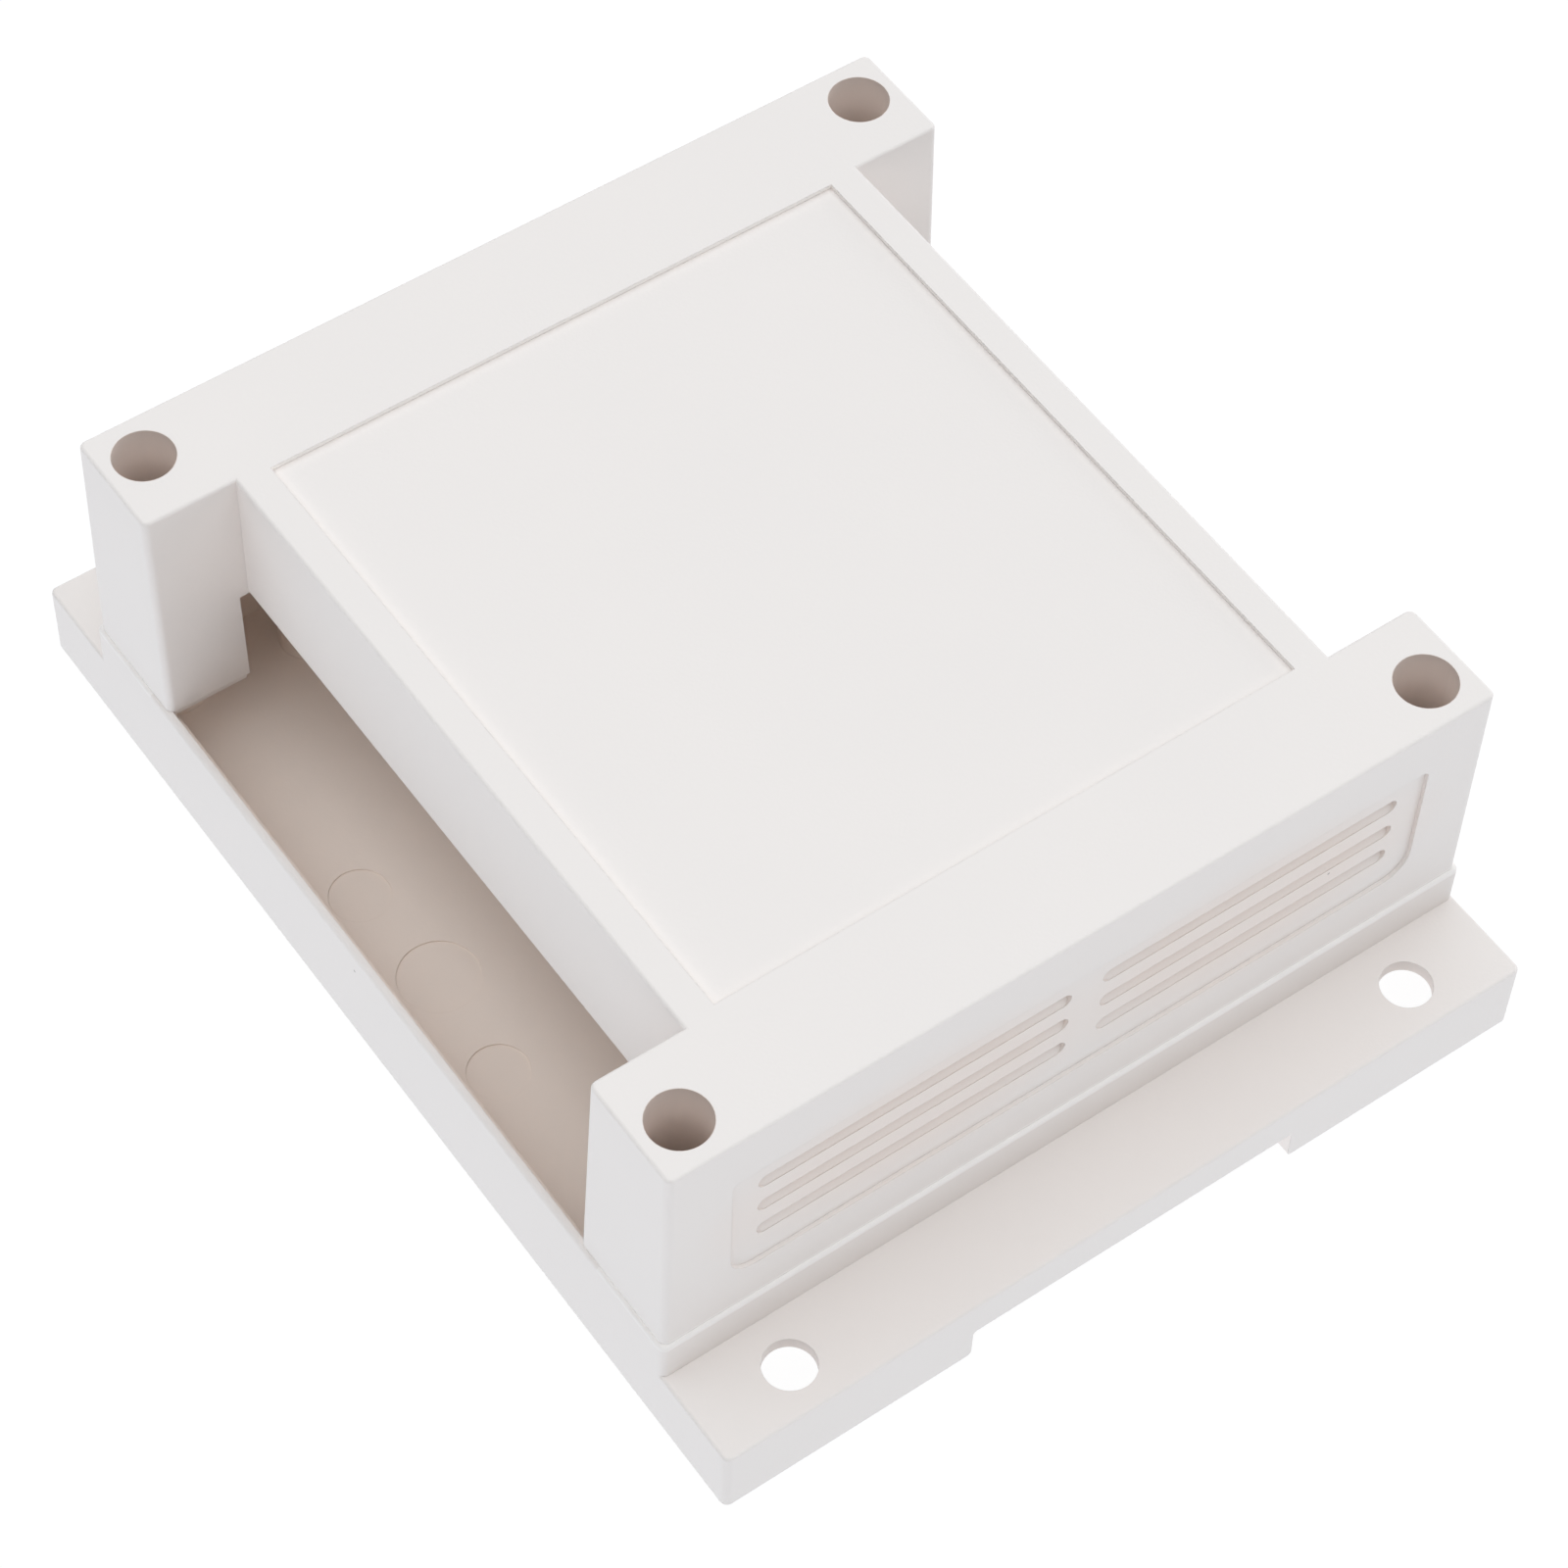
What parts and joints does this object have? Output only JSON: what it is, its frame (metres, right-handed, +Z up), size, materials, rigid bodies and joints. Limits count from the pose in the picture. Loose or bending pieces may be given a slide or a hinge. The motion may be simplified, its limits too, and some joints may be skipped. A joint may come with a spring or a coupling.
{
  "type": "junction box",
  "caption": "Rail or wall mounted junction box: moulded tray with drilled flanges, screwed cover with open terminal sides, sunk label field, end vents and sliding rail latches.",
  "frame": {"origin": "centre of the mounting face, under the middle of the box", "axes": "+Z up from the mounting face, +Y along the rail from one flange to the other, +X across the terminal sides towards the side where the latches are pulled"},
  "size_m": [0.09, 0.115, 0.04],
  "materials": {
    "housing_plastic": "warm off-white moulded plastic with a fine matte texture",
    "latch_plastic": "slightly waxy off-white moulded plastic",
    "screw_steel": "bright zinc plating"
  },
  "bodies": {
    "housing": {"base": "housing_plastic", "cover": "housing_plastic", "cover_screws": "screw_steel"},
    "front_latch": {"front_rail_latch": "latch_plastic"},
    "rear_latch": {"rear_rail_latch": "latch_plastic"}
  },
  "joints": [
    {"name": "front_latch_slide", "type": "slide", "parent": "housing", "child": "front_latch", "axis": [1, 0, 0], "range_m": [0, 0.004]},
    {"name": "rear_latch_slide", "type": "slide", "parent": "housing", "child": "rear_latch", "axis": [1, 0, 0], "range_m": [0, 0.004]}
  ]
}
